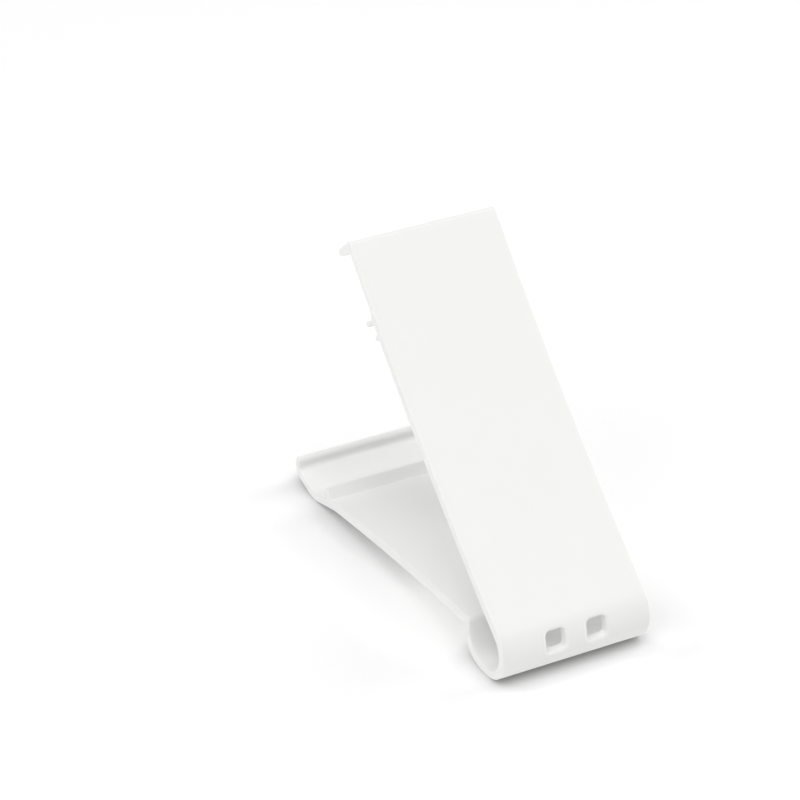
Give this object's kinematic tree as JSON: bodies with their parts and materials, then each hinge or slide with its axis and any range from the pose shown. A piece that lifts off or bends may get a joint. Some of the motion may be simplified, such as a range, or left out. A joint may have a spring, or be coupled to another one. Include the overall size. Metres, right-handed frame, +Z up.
{
  "type": "clip-on phone stand",
  "caption": "One-piece springy plastic clip that stands a phone: sloping plate with hooked, ribbed tip, curled spring end with strap slots, base with ridge and lipped trough.",
  "frame": {"origin": "centre of the clip's footprint, on the table it stands on", "axes": "+X across the strip, +Y from the curl towards the toe that holds the phone, +Z up"},
  "size_m": [0.035, 0.0954, 0.0733],
  "materials": {
    "white_plastic": "satin white moulded plastic"
  },
  "bodies": {
    "root": {"clip_stand": "white_plastic"}
  },
  "joints": []
}
